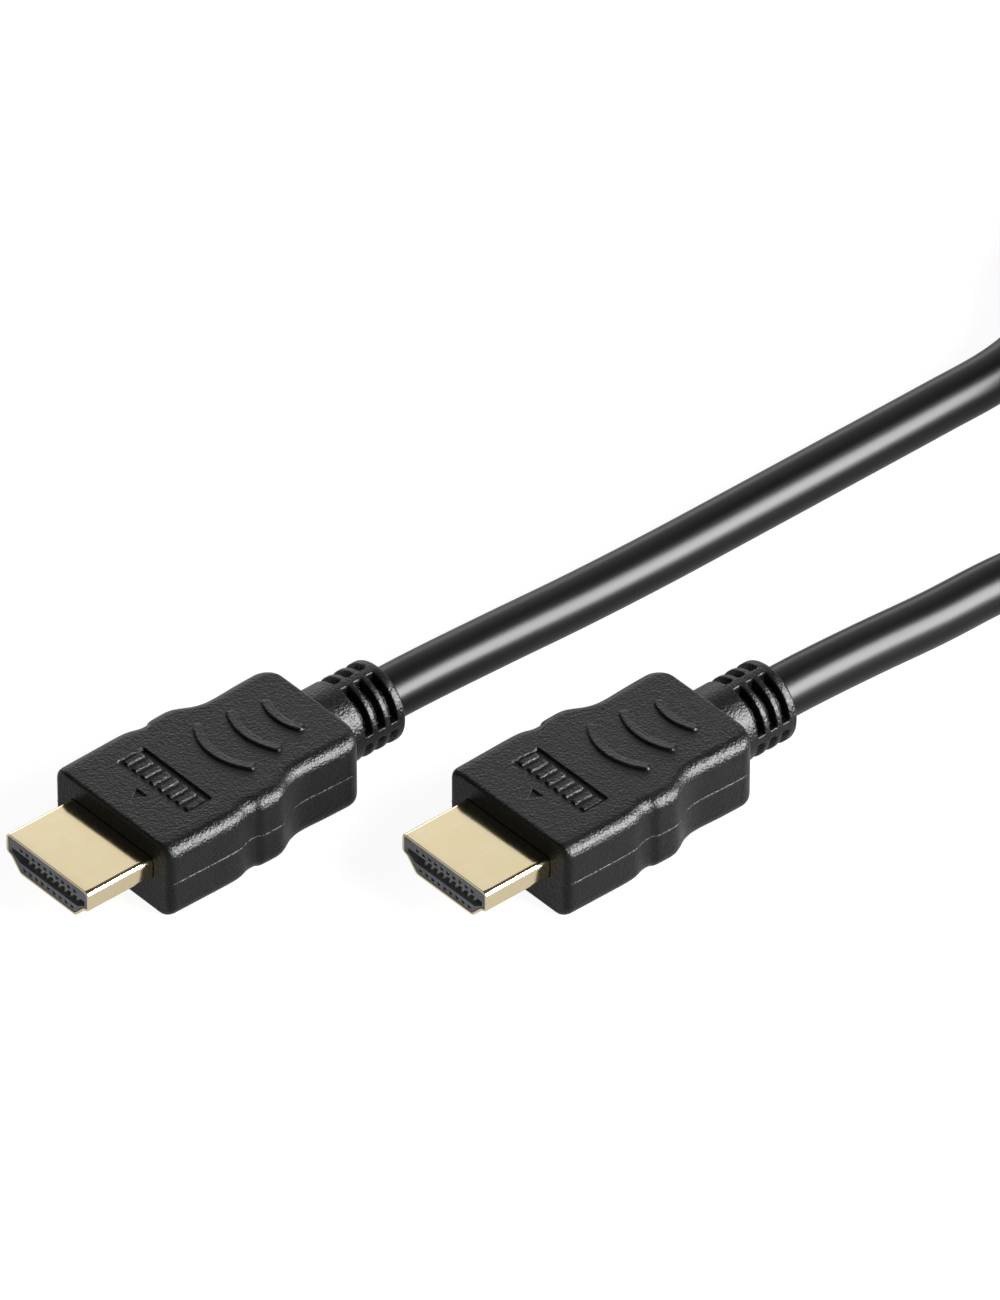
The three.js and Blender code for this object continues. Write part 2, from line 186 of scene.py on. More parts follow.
def curveThrough(points, perSpan=12):  # centripetal spline through the points
    points = np.asarray(points, float)
    ends = np.vstack([2 * points[0] - points[1], points, 2 * points[-1] - points[-2]])
    made = []
    for a, b, c, d in zip(ends, ends[1:], ends[2:], ends[3:]):
        t1 = np.linalg.norm(b - a) ** 0.5
        t2 = t1 + np.linalg.norm(c - b) ** 0.5
        t3 = t2 + np.linalg.norm(d - c) ** 0.5
        for t in np.linspace(t1, t2, perSpan, endpoint=False):
            ab = a + (b - a) * t / t1
            bc = b + (c - b) * (t - t1) / (t2 - t1)
            cd = c + (d - c) * (t - t2) / (t3 - t2)
            abc = ab + (bc - ab) * t / t2
            bcd = bc + (cd - bc) * (t - t1) / (t3 - t1)
            made.append(abc + (bcd - abc) * (t - t1) / (t2 - t1))
    made.append(points[-1])
    return np.array(made)


def evenly(points, spacing):  # the same line, with its points at an even spacing
    length = along(points)
    count = max(int(round(length[-1] / spacing)), 2)
    places = np.linspace(0, length[-1], count + 1)
    return np.stack([np.interp(places, length, axis) for axis in points.T], 1)


def gridFaces(rows, columns):  # quads between closed rings of points
    faces = []
    for i in range(rows - 1):
        for j in range(columns):
            a, b = i * columns + j, i * columns + (j + 1) % columns
            faces.append((a, a + columns, b + columns, b))
    return faces


# Cord: one length, from plug to plug, its spare length folded into a hank

cord = {
    "length": 1000,
    "diameter": 6.2,
    "sides": 32,
    "spacing": 2.0,
    "exit": (-14.05, 7.35, 4.9),
    "routeA": [
        (-14.05, 1.65, 4.9), (-14.05, 12, 4.85), (-14.05, 24, 4.3), (-14.05, 36, 3.6), (-14.05, 48, 3.22),
        (-14.05, 61, 3.14), (-14.05, 76, 3.12), (-14.05, 90, 3.12), (-14.12, 99, 3.16), (-15.23, 106, 3.29),
        (-17.17, 113, 3.5), (-19.25, 120, 3.71), (-20.8, 127, 3.86), (-21.2, 136, 3.9),
    ],
    "routeB": [
        (14.05, 33.95, 4.9), (14.05, 44, 4.85), (14.05, 54, 4.3), (14.05, 64, 3.5), (14.07, 74, 3.15),
        (15.36, 82, 3.4), (18.23, 90, 4.34), (22.03, 98, 5.74), (26.12, 106, 7.32), (29.84, 114, 8.79),
        (32.55, 122, 9.88), (33.6, 130, 10.3),
    ],
    "colour": (0.0009, 0.0009, 0.0010, 1),
    "worn": (0.00153, 0.00153, 0.0017, 1),
    "gloss": 0.19,
    "roughness": 0.33,
}

hank = {
    "middle": 6.2,
    "nearFold": 136.0,
    "straight": 30.0,
    "foldRadius": 24.2,
    "pitch": 6.4,
    "height": 7.1,
    "turns": 4,
    "twistOverrun": 10.0,
    "lift": 0.6,
    "lead": 5.0,
    "spacing": 7.0,
}


def hankLine(spec):  # the bundle turns a quarter over at each near fold, so that its runs never cross
    fold = math.pi * spec["foldRadius"]
    lap = 2 * (spec["straight"] + fold)
    total = spec["turns"] * lap - fold
    reach = spec["pitch"] / math.sqrt(2)
    count = int(total / spec["spacing"])
    points = []
    for i in range(count + 1):
        way = total * i / count
        if way < spec["lead"] or way > total - spec["lead"]:
            continue
        turned = sum(float(ease((way - (k + 1) * lap + fold + spec["twistOverrun"])
                                / (fold + 2 * spec["twistOverrun"]))) for k in range(spec["turns"] - 1))
        angle = math.radians(-45 - 90 * turned)
        place = way % lap
        if place < spec["straight"]:
            centre, outward = (0, place), (-1, 0)
        elif place < spec["straight"] + fold:
            a = math.pi * (1 - (place - spec["straight"]) / fold)
            centre, outward = (0, spec["straight"]), (math.cos(a), math.sin(a))
        elif place < 2 * spec["straight"] + fold:
            centre, outward = (0, 2 * spec["straight"] + fold - place), (1, 0)
        else:
            a = -math.pi * (place - 2 * spec["straight"] - fold) / fold
            centre, outward = (0, 0), (math.cos(a), math.sin(a))
        out = spec["foldRadius"] + reach * math.cos(angle)
        rise = reach * math.sin(angle) + spec["lift"] * math.sin(math.pi * (turned % 1))
        points.append((spec["middle"] + centre[0] + outward[0] * out,
                       spec["nearFold"] + centre[1] + outward[1] * out, spec["height"] + rise))
    return points


def sweep(line, section):  # a tube along a line, its section carried without twist
    tangents = np.gradient(line, axis=0)
    tangents /= np.linalg.norm(tangents, axis=1)[:, None]
    side = np.cross(tangents[0], (0, 0, 1))
    side /= np.linalg.norm(side)
    rings, sides = [], []
    for point, tangent in zip(line, tangents):
        side = side - tangent * side.dot(tangent)
        side /= np.linalg.norm(side)
        up = np.cross(side, tangent)
        rings.append(point + section[:, :1] * side + section[:, 1:] * up)
    points = np.concatenate(rings)
    faces = gridFaces(len(line), len(section))
    faces.append(tuple(range(len(section))))
    faces.append(tuple(range(len(points) - 1, len(points) - 1 - len(section), -1)))
    return points, faces


def circle(radius, sides):
    turn = np.linspace(0, 2 * math.pi, sides, endpoint=False)
    return np.stack([radius * np.cos(turn), radius * np.sin(turn)], 1)


def jacketMaterial(spec):  # extruded jacket, glossy, with faint streaks along it
    material, shader = newMaterial("cord jacket", {"Base Color": spec["colour"],
                                                   "Specular IOR Level": spec["gloss"]})
    place = shader.make("Attribute", {"attribute_name": "lay"}, output="Vector")
    streaks = shader.noise(place, 0.5, 3.0)
    swell = shader.noise(place, 2.2, 2.0)
    feed(shader, Roughness=spec["roughness"] + 0.09 * (streaks - 0.5) + 0.05 * (swell - 0.5),
         Base_Color=streaks.ramp(0.3, 0.75).blend(spec["colour"], spec["worn"]),
         Normal=(streaks * 0.5 + swell).bump(0.35, 0.012))
    return material


def makeCord(spec):
    route = [*spec["routeA"], *hankLine(hank), *reversed(spec["routeB"])]
    line = evenly(curveThrough(route), spec["spacing"])
    section = circle(spec["diameter"] / 2, spec["sides"])
    points, faces = sweep(line, section)
    length = np.repeat(along(line), spec["sides"])
    lay = np.stack([np.tile(section[:, 0], len(line)), np.tile(section[:, 1], len(line)), length * 0.02], 1)
    thing = newObject("cord", points, faces, jacketMaterial(spec), vectors={"lay": lay})
    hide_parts("cord_a", "cord_b", "cord_hank")
    return thing, line


cordPiece, cordLine = makeCord(cord)
print("cord made,", round(along(cordLine)[-1], 1), "mm")


# Twist ties round the hank's two bundles

ties = {
    "nodes": {"tie_left": -1, "tie_right": 1},
    "width": 4.0,
    "edgeThickness": 0.3,
    "wireThickness": 0.65,
    "wireHalfWidth": 0.5,
    "clearance": 0.1,
    "turns": 4,
    "tailStart": -1.0,
    "tailLength": 11.0,
    "tailRadius": 0.62,
    "tailArch": 0.25,
    "tailGap": 0.3,
    "strand": (0.62, 0.5),  # half-width and half-thickness
    "splay": (2.75, 5.0, 0.9),  # how far each free end goes sideways, back and up
    "colour": (0.014, 0.014, 0.015, 1),
    "worn": (0.024, 0.024, 0.026, 1),
}


def tieMaterial(spec):
    material, shader = newMaterial("tie plastic", {"Base Color": spec["colour"]})
    place = shader.make("TexCoord", output="Object")
    grain = shader.noise(place, 0.35, 3.0)
    feed(shader, Roughness=0.32 + 0.25 * grain, Normal=grain.bump(0.3, 0.03),
         Base_Color=grain.ramp(0.35, 0.7).blend(spec["colour"], spec["worn"]))
    return material


def makeTie(name, side, spec, material):
    half = hank["pitch"] / 2
    centre = np.array([hank["middle"] + side * hank["foldRadius"],
                       hank["nearFold"] + hank["straight"] / 2, hank["height"]])
    corner = cord["diameter"] / 2 + spec["clearance"]
    ring = [(x * half, z * half, math.cos(math.radians(a)), math.sin(math.radians(a)))
            for k, (x, z) in enumerate([(1, 1), (-1, 1), (-1, -1), (1, -1)])
            for a in range(k * 90, k * 90 + 91, 10)]
    across = np.linspace(-1, 1, 9) * spec["width"] / 2
    ridge = spec["wireThickness"] - spec["edgeThickness"]
    thick = spec["edgeThickness"] + ridge * np.exp(-(across / spec["wireHalfWidth"]) ** 2)
    profile = [(y, corner) for y in across]
    profile += [(y, corner + t) for y, t in zip(across[::-1], thick[::-1])]
    points = [centre + np.array([x + c * r, y, z + s * r]) for x, z, c, s in ring for y, r in profile]
    faces, loop, count = [], len(ring), len(profile)
    for i in range(loop):
        here, there = i * count, (i + 1) % loop * count
        for j in range(count):
            k = (j + 1) % count
            faces.append((here + j, here + k, there + k, there + j))
    rise = half + corner + spec["wireThickness"] + spec["tailRadius"] + spec["tailGap"]
    top = centre + np.array([-side * half, 0, rise])
    sideways, back, up = spec["splay"]
    for strand in (0, 1):  # two tails, twisted together and then splayed
        line = []
        for t in np.linspace(0, 1, 60):
            turn = 2 * math.pi * spec["turns"] * t + strand * math.pi
            twist = np.array([math.cos(turn), 0, math.sin(turn)]) * spec["tailRadius"]
            arch = spec["tailArch"] * math.sin(math.pi * t)
            line.append(top + twist + np.array([0, spec["tailStart"] + spec["tailLength"] * t, arch]))
        end, away = line[-1], 1 if strand else -1
        for t in np.linspace(0.1, 1, 10):
            line.append(end + np.array([away * sideways * t ** 1.5, back * t, up * t * t]))
        tail, tailFaces = sweep(np.array(line), circle(1, 10) * spec["strand"])
        faces += [tuple(len(points) + p for p in face) for face in tailFaces]
        points += list(tail)
    thing = newObject(name + "_band", points, faces, material)
    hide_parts(name)
    return thing


tiePlastic = tieMaterial(ties)
tiePieces = [makeTie(name, side, ties, tiePlastic) for name, side in ties["nodes"].items()]
print("ties made")


# Shell outline, seen from the mouth: x, z and corner radius, right half from the foot up

shell = {
    "corners": [(4.65, -2.225, 0.8), (6.15, -0.6, 0.4), (6.95, -0.3, 0.5), (6.95, 2.225, 0.7)],
    "wall": 0.3,
    "length": 13.1,
    "rim": 0.09,
    "pocketGap": 0.1,
    "ringsAt": (1.2, 7.86),  # extra rings along the shell
    "colour": (0.88, 0.765, 0.515, 1),
    "deep": (0.86, 0.725, 0.45, 1),
    "roughness": 0.13,
}


def roundedOutline(half, offset, steps=10):
    corners = list(half) + [(-x, z, r) for x, z, r in reversed(half)]
    made = []
    for i, (x, z, radius) in enumerate(corners):
        here = np.array([x, z])
        comeIn = here - np.array(corners[i - 1][:2])
        goOut = np.array(corners[(i + 1) % len(corners)][:2]) - here
        comeIn, goOut = comeIn / np.linalg.norm(comeIn), goOut / np.linalg.norm(goOut)
        turn = comeIn[0] * goOut[1] - comeIn[1] * goOut[0]
        side = math.copysign(1, turn)
        outward = np.array([comeIn[1] + goOut[1], -comeIn[0] - goOut[0]])
        corner = here + outward * offset / (1 + comeIn.dot(goOut))
        bend = max(radius + side * offset, 0.02)
        angle = math.atan2(abs(turn), comeIn.dot(goOut))
        start = corner - comeIn * bend * math.tan(angle / 2)
        centre = start + np.array([-comeIn[1], comeIn[0]]) * side * bend
        spoke = start - centre
        for a in np.linspace(0, angle * side, steps + 1):
            made.append(centre + np.array([spoke[0] * math.cos(a) - spoke[1] * math.sin(a),
                                           spoke[0] * math.sin(a) + spoke[1] * math.cos(a)]))
    return np.array(made)


def giltMaterial(spec):  # plating over stamped sheet: smooth, with faint draw lines and soft waviness
    material, shader = newMaterial("gilt plating", {"Metallic": 1.0, "Base Color": spec["colour"]})
    place = shader.make("TexCoord", output="Object")
    drawn = shader.make("VectorMath", {"operation": "MULTIPLY"}, {0: place, 1: (1, 0.06, 1)})
    lines = shader.noise(drawn, 0.16, 3.0)
    cloud = shader.noise(place, 2.6, 3.0)
    wave = shader.noise(place, 5.0, 1.0)
    feed(shader, Roughness=spec["roughness"] + 0.03 * (lines - 0.5) + 0.05 * (cloud - 0.5),
         Base_Color=(cloud * 0.6 + lines * 0.4).ramp(0.3, 0.75).blend(spec["deep"], spec["colour"]),
         Normal=(lines * 0.05 + wave).bump(0.25, 0.03))
    return material


def makeShell(plug, move, spec, material):
    rim, wall, length = spec["rim"], spec["wall"], spec["length"]
    turn = np.linspace(0, math.pi / 2, 5)
    near, far = spec["ringsAt"]
    rows = [(0, length), (0, far), (0, near)]
    rows += [(-rim * (1 - math.cos(t)), rim * (1 - math.sin(t))) for t in turn]
    rows += [(-wall + rim * (1 - math.cos(t)), rim * (1 - math.sin(t))) for t in turn[::-1]]
    rows += [(-wall, near), (-wall, far), (-wall, length)]
    rings = []
    for offset, y in rows:
        outline = roundedOutline(spec["corners"], offset)
        rings.append(np.stack([outline[:, 0], np.full(len(outline), y), outline[:, 1]], 1))
    columns = len(rings[0])
    points = np.concatenate(rings) + move
    faces = gridFaces(len(rings), columns)
    last = (len(rings) - 1) * columns
    faces += [(j, (j + 1) % columns, last + (j + 1) % columns, last + j) for j in range(columns)]
    thing = newObject(plug + "_shell_plated", points, faces, material, 40)
    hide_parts(plug + "_shell")
    return thing


# Moulded grip and strain relief, one body. y runs back from the mouth, z up from the plug's axis

grip = {
    "front": 9.1,
    "rear": 37.9,
    "halfHeight": 4.9,
    "edge": 1.65,
    "frontEdge": 0.4,
    "rearEdge": 0.3,
    "frontCorner": 0.9,
    "rearCorner": 2.0,
    "plan": [(0, 9.8), (4.5, 9.88), (9.1, 9.92), (10.1, 9.82), (11.4, 9.42), (12.3, 9.36),
             (12.72, 9.42), (12.95, 9.64), (13.3, 9.72), (14.1, 9.76), (15.8, 9.72), (16.6, 9.42),
             (18.1, 8.62), (19.3, 8.25), (20.7, 8.14), (23.9, 8.28), (28.8, 8.38)],
    "seam": (0.045, 0.09),  # parting line: height and half-width
    "frontSeam": 0.03,
    "fixedHalf": 6.4,
    "colour": (0.0006, 0.0006, 0.0006, 1),
    "worn": (0.0022, 0.0022, 0.0022, 1),
    "gloss": 0.24,
    "roughness": 0.32,
}

arcs = {
    "fronts": [(23.0, 5.2, 7.9), (27.7, 4.6, 8.3), (32.2, 3.5, 6.9)],  # front, half-chord and radius
    "width": 1.2,
    "height": 0.3,
    "corner": 0.4,
    "round": 0.14,
    "backDrop": 0.35,
    "rows": (18.9, 37.3),  # between these the mesh rows bend along the arcs
}

panel = {
    "from": 14.6,
    "length": 3.9,
    "width": 11.6,
    "depth": 0.35,
    "corner": 0.3,
    "bars": 8,
    "barWidth": 0.7,
    "barLength": 2.5,
    "barHeight": 0.25,
    "barCorner": 0.06,
}

mark = {"apex": 11.9, "length": 1.5, "width": 1.8, "depth": 0.25}

relief = {
    "radius": 4.85,
    "end": 47.0,
    "endEdge": 0.4,
    "slots": [41.7, 43.5, 45.3],
    "slotWidth": 1.05,
    "slotDepth": 1.1,
    "web": 1.1,
    "bore": 3.25,
    "boreFloor": 41.0,
}

lipSteps = [-0.16, -0.08, -0.03, 0.02, 0.07, 0.14]  # distances across an edge where the mesh is dense


def boxDistance(x, y, halfX, halfY, corner):  # signed distance to a rounded rectangle, negative inside
    a, b = np.abs(x) - halfX + corner, np.abs(y) - halfY + corner
    return np.hypot(np.maximum(a, 0), np.maximum(b, 0)) + np.minimum(np.maximum(a, b), 0) - corner


def wallShare(distance, soft=0.06):  # 0 outside an edge, 1 inside it, steep with a small rounding
    return ease(0.5 - distance / (2 * soft))


def topRelief(x, y):  # height of the grip's top over its plain surface
    height = np.zeros_like(x)
    for front, halfChord, radius in arcs["fronts"]:
        centre = front + radius
        middle = radius - arcs["width"] / 2
        out = np.hypot(x, centre - y)
        round_ = np.arctan2(x, centre - y) * middle
        reach = math.asin(halfChord / radius) * middle
        distance = boxDistance(round_, out - middle, reach, arcs["width"] / 2, arcs["corner"])
        share = np.clip(-distance / arcs["round"], 0, 1)
        back = 1 - arcs["backDrop"] * ease((middle - out) / arcs["width"] + 0.5)  # taller in front
        height = np.maximum(height, arcs["height"] * back * np.sqrt(1 - (1 - share) ** 2))
    middle = panel["from"] + panel["length"] / 2
    inPanel = wallShare(boxDistance(x, y - middle, panel["width"] / 2, panel["length"] / 2,
                                    panel["corner"]))
    floor = np.full_like(x, -panel["depth"])
    pitch = panel["width"] / panel["bars"]
    for i in range(panel["bars"]):
        barX = (i - (panel["bars"] - 1) / 2) * pitch
        bar = boxDistance(x - barX, y - middle, panel["barWidth"] / 2, panel["barLength"] / 2,
                          panel["barCorner"])
        floor = np.maximum(floor, -panel["depth"] + panel["barHeight"] * wallShare(bar, 0.05))
    height += inPanel * floor
    slope = mark["width"] / 2 / mark["length"]
    sides = (np.abs(x) - (y - mark["apex"]) * slope) / math.hypot(1, slope)
    inMark = wallShare(np.maximum(sides, y - mark["apex"] - mark["length"]), 0.05)
    return height - mark["depth"] * inMark


def inset(depth, radius):  # how far a rounded edge has drawn in at a depth behind its face
    left = np.clip(radius - depth, 0, radius)
    return radius - np.sqrt(radius ** 2 - left ** 2)


def clusters(places, steps):
    return [place + sign * step for place in places for step in steps for sign in (-1, 1)]


def gripColumns():  # right half of the ring from the top's middle down to the bottom's middle
    fixedHalf = grip["fixedHalf"]
    pitch = panel["width"] / panel["bars"]
    halfBar = panel["barWidth"] / 2
    bars = [(i + 0.5) * pitch + s * halfBar for i in range(panel["bars"] // 2) for s in (-1, 1)]
    web = math.tan(math.asin(relief["web"] / 2 / relief["radius"]))
    rearHalf, tall = grip["plan"][-1][1] - grip["rearCorner"], grip["halfHeight"]
    rearFlat = rearHalf - grip["edge"] + grip["rearEdge"]
    rearTop = tall - grip["rearEdge"]
    topWeb = web * rearTop / rearFlat * fixedHalf
    sideWeb = web * rearHalf / (tall - grip["edge"])
    footWeb = web * rearTop / rearFlat
    seam = grip["seam"][1] / (tall - grip["edge"])
    fixed = sorted({round(x, 3) for x in [
        *np.arange(0, 1.05, 0.07), *np.arange(1.05, fixedHalf, 0.14), *clusters(bars, [0, 0.05]),
        *clusters([panel["width"] / 2], [0, 0.06]), *[topWeb + t * 1.25 for t in lipSteps],
    ] if 0 <= x < fixedHalf})
    fixed = [0.0] + [x for last, x in zip([0, *fixed], fixed) if x - last > 0.02]
    down = sorted({round(q, 4) for q in [
        0, seam * 0.35, seam * 0.7, seam, *np.arange(0.1, 0.95, 0.1),
        *[sideWeb + t * 0.41 for t in lipSteps],
    ]})
    foot = sorted({round(s, 4) for s in [
        0, *np.arange(0.2, 0.95, 0.1), *[footWeb + t * 0.2 for t in lipSteps],
    ]})
    columns = [("fixed", x) for x in fixed] + [("flat", 0.0), ("flat", 0.5)]
    columns += [("corner", a) for a in np.linspace(math.pi / 2, 0, 11)]
    columns += [("side", q) for q in reversed(down)] + [("side", -q) for q in down if q]
    columns += [("under", a) for a in np.linspace(0, math.pi / 2, 9)]
    columns += [("foot", s) for s in reversed(foot)]
    table = {  # each point's fixed width, share of the flat, corner across, side of the seam, corner up
        "fixed": lambda v: (v, 0, 0, 1, 1), "flat": lambda v: (fixedHalf * (1 - v), v, 0, 1, 1),
        "corner": lambda v: (0, 1, math.cos(v), 1, math.sin(v)), "side": lambda v: (0, 1, 1, v, 0),
        "under": lambda v: (0, 1, math.cos(v), -1, -math.sin(v)), "foot": lambda v: (0, v, 0, -1, -1),
    }
    right = np.array([table[kind](value) for kind, value in columns])
    sign = np.concatenate([np.ones(len(right)), -np.ones(len(right) - 2)])
    return np.concatenate([right, right[-2:0:-1]]), sign


def gripRows():  # distances from the mouth, dense where the top has detail
    front, rear = grip["front"], grip["rear"]
    rows = [front + d for d in (0, 0.015, 0.05, 0.1, 0.17, 0.26, 0.4, 0.6, 0.9, 1.3, 1.8, 2.3)]
    rows += list(np.arange(mark["apex"] - 0.12, mark["apex"] + mark["length"] + 0.14, 0.07))
    middle = panel["from"] + panel["length"] / 2
    rows += [13.8, 14.2, *clusters([panel["from"], panel["from"] + panel["length"]], [0, 0.03, 0.07, 0.14])]
    barEnds = [middle - panel["barLength"] / 2, middle + panel["barLength"] / 2]
    rows += [14.9, 15.1, *clusters(barEnds, [0, 0.03, 0.07])]
    rows += [15.7, 16.1, 16.55, 17.0, 17.4, 18.05, 18.25]
    rows += list(np.arange(18.85, 22.6, 0.25))
    for start, _, _ in arcs["fronts"]:
        rows += [start + d for d in (-0.3, -0.12, -0.04, 0, 0.03, 0.07, 0.12, 0.2, 0.32, 0.5, 0.7,
                                     0.88, 1.0, 1.08, 1.14, 1.18, 1.21, 1.26, 1.38, 1.6)]
    rows += [*np.arange(24.9, 27.3, 0.3), *np.arange(29.6, 31.8, 0.3), *np.arange(34.1, 35.9, 0.3)]
    rows += [rear - d * grip["rearCorner"] for d in (1, 0.8, 0.62, 0.46, 0.33, 0.22)]
    rows += [rear - d for d in (0.3, 0.22, 0.15, 0.09, 0.045, 0.015, 0)]
    rows = sorted(round(y, 4) for y in rows)
    return np.array([y for last, y in zip([-1, *rows], rows) if y - last > 0.012])


def rowBend(rows, x):  # bends the rows back along the thumb arcs
    ways, radii, ends, shares = [arcs["rows"][0]], [8.0], [5.5], [0.0]
    for front, halfChord, radius in arcs["fronts"]:
        ways += [front - 0.3, front + 1.6]
        radii += [radius + 0.3, radius - 1.6]
        ends += [halfChord + 0.1, halfChord + 0.1]
        shares += [1.0, 1.0]
    ways.append(arcs["rows"][1])
    radii.append(8.0)
    ends.append(3.0)
    shares.append(0.0)
    radius = np.interp(rows, ways, radii)[:, None]
    end = np.interp(rows, ways, ends)[:, None]
    share = np.interp(rows, ways, shares, left=0, right=0)[:, None]
    near = np.minimum(np.abs(x)[None, :], end)
    bend = radius - np.sqrt(radius ** 2 - near ** 2)
    slope = end / np.sqrt(radius ** 2 - end ** 2)
    extra = np.clip(np.abs(x)[None, :] - end, 0, 1.2)
    return share * (bend + slope * (extra - extra ** 2 / 2.4))


def gripSurface(y, every, sign):  # the plain grip at each point's own y
    plan = curveThrough(grip["plan"], 16)
    fromFront, fromRear = y - grip["front"], grip["rear"] - y
    draw = inset(fromFront, grip["frontEdge"]) + inset(fromRear, grip["rearEdge"])
    half = np.interp(fromFront, plan[:, 0], plan[:, 1])
    half = half - inset(fromFront, grip["frontCorner"]) - inset(fromRear, grip["rearCorner"])
    tall, edge = grip["halfHeight"] - draw, grip["edge"] - draw
    scale = np.minimum(1, (half - edge) / grip["fixedHalf"])
    fixed, flat, cornerX, upright, cornerZ = every.T
    x = sign * (fixed * scale + flat * (half - edge) + cornerX * edge)
    z = upright * (tall - edge) + cornerZ * edge
    height, width = grip["seam"]
    onSeam = (cornerX == 1) & (cornerZ == 0) & (np.abs(z) < width)
    ridge = np.where(onSeam, sign * height * np.cos(z / width * math.pi / 2), 0)
    x = x + ridge * np.clip(fromRear / 2, 0, 1)
    return x, z


def slotShare(x, y, z):  # depth of the relief's slots at a point on its round surface
    radius = relief["radius"]
    turn = np.arctan2(z, x)
    toWeb = np.minimum(np.abs(np.sin(turn)), np.abs(np.cos(turn))) * radius - relief["web"] / 2
    share = np.zeros_like(turn)
    for middle in relief["slots"]:
        toEdge = relief["slotWidth"] / 2 - np.abs(y - middle)
        inside = -boxDistance(np.maximum(0.8 - toWeb, 0), y - middle, 0.8, relief["slotWidth"] / 2, 0.3)
        inside = np.minimum(inside, toEdge)
        lip = 0.1 * np.clip((inside + 0.16) / 0.16, 0, 1) ** 2
        share = np.maximum(share, lip + 0.9 * ease((inside + 0.02) / 0.16))
    return share


def makeBody(plug, move, material):
    every, sign = gripColumns()
    columns = len(every)
    top = every[:, 4] == 1
    rows = gripRows()
    fixed, flat = every[:, 0], every[:, 1]
    across = np.where(top, fixed, grip["fixedHalf"] + 1.2)
    y = rows[:, None] + rowBend(rows, across)
    straight = rows < arcs["rows"][0]
    y[straight] = rows[straight][:, None]
    x, z = gripSurface(y, every, sign)
    z = z + np.where(top[None, :] & (flat == 0)[None, :], topRelief(x, y), 0)
    behind = y > grip["rear"] - 0.7
    reach = np.hypot(x, z)
    push = np.where(behind & (reach < relief["radius"]), relief["radius"] / reach, 1)
    x, z = x * push, z * push
    rings = [np.stack([x[i], y[i], z[i]], 1) for i in range(len(rows))]

    first = rings[0]  # the front face, from its rounded edge in to the shell's pocket
    pocket = pocketRing(ringKeys(first), first)
    front, seam = grip["front"], grip["seam"][1]
    face = [pocket + (0, shell["length"] - front + shell["pocketGap"], 0), pocket + (0, 0.05, 0)]
    for share in (0.0, 0.04, 0.3, 0.65, 0.94):
        ring = pocket + (first - pocket) * share
        ridge = grip["frontSeam"] * np.cos(ring[:, 2] / seam * math.pi / 2)
        raised = (np.abs(ring[:, 2]) < seam) & (0 < share < 0.9)
        ring[:, 1] = front - np.where(raised, ridge, 0)
        face.append(ring)
    rings = face + rings

    last = rings[-1]  # the relief starts on the circle round the rear face
    turn = np.arctan2(last[:, 2], last[:, 0])
    cosine, sine = np.cos(turn), np.sin(turn)
    radius, end, edge = relief["radius"], relief["end"], relief["endEdge"]
    ways = [grip["rear"] + d for d in (0, 0.06, 0.2, 0.5, 1.0, 1.7, 2.4, 2.9)]
    for middle in relief["slots"]:
        half = relief["slotWidth"] / 2
        ways += [middle - half + t for t in lipSteps] + [middle + half - t for t in lipSteps] + [middle]
    ways += [end - edge - 0.25, *[end - edge + edge * math.sin(a) for a in np.linspace(0, math.pi / 2, 6)]]
    middleRing = last * 0.5 + 0.5 * np.stack([radius * cosine, last[:, 1], radius * sine], 1)
    rings.append(middleRing)
    for way in sorted(ways):
        down = slotShare(cosine * radius, np.full_like(cosine, way), sine * radius) * relief["slotDepth"]
        away = radius - down - inset(end - way, edge)
        rings.append(np.stack([away * cosine, np.full_like(cosine, way), away * sine], 1))
    bore = relief["bore"]
    for away, way in ((bore + 0.5, end), (bore + 0.15, end), (bore + 0.05, end - 0.04), (bore, end - 0.15),
                      (bore, (end + relief["boreFloor"]) / 2), (bore, relief["boreFloor"])):
        rings.append(np.stack([away * cosine, np.full_like(cosine, way), away * sine], 1))

    points = np.concatenate(rings)
    faces = gridFaces(len(rings), columns)
    count = len(points)
    points = np.vstack([points, rings[0].mean(0), rings[-1].mean(0)])
    faces += [(count, j, (j + 1) % columns) for j in range(columns)]
    tail = count - columns
    faces += [(count + 1, tail + (j + 1) % columns, tail + j) for j in range(columns)]
    thing = newObject(plug + "_body_moulded", points + move, faces, material)
    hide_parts(plug + "_body")
    return thing


def ringKeys(ring):  # share of the way round from the top's middle, for the right half and the left
    count = len(ring)
    half = count // 2
    ways = along(ring[: half + 1])
    share = ways / ways[-1]
    return np.concatenate([share, share[-2:0:-1]])


def pocketRing(keys, ring):  # the D outline's points that face each point of the grip's front ring
    outline = roundedOutline(shell["corners"], shell["pocketGap"], 12)
    right = outline[outline[:, 0] >= 0][::-1]  # from the top down
    right = np.vstack([[0, right[0][1]], right, [0, right[-1][1]]])
    ways = along(right)
    top = ways[1]
    anchorsFrom, anchorsTo = cornerKeys(ring), [0, top, ways[13], ways[-14], ways[-2], ways[-1]]
    way = np.interp(keys, anchorsFrom, anchorsTo)
    side = np.where(np.arange(len(ring)) <= len(ring) // 2, 1, -1)
    x = np.interp(way, ways, right[:, 0]) * side
    z = np.interp(way, ways, right[:, 1])
    return np.stack([x, np.full(len(ring), grip["front"]), z], 1)


def cornerKeys(ring):  # where the grip's corners start and end, as shares of the way round
    half = len(ring) // 2
    ways = along(ring[: half + 1])
    tall = grip["halfHeight"] - grip["frontEdge"]
    edge = grip["edge"] - grip["frontEdge"]
    wide = ring[:, 0].max()
    flat = wide - edge
    bend = edge * math.pi / 2
    side = 2 * (tall - edge)
    total = 2 * flat + 2 * bend + side
    return [0, flat / total, (flat + bend) / total, (flat + bend + side) / total,
            (flat + 2 * bend + side) / total, 1]


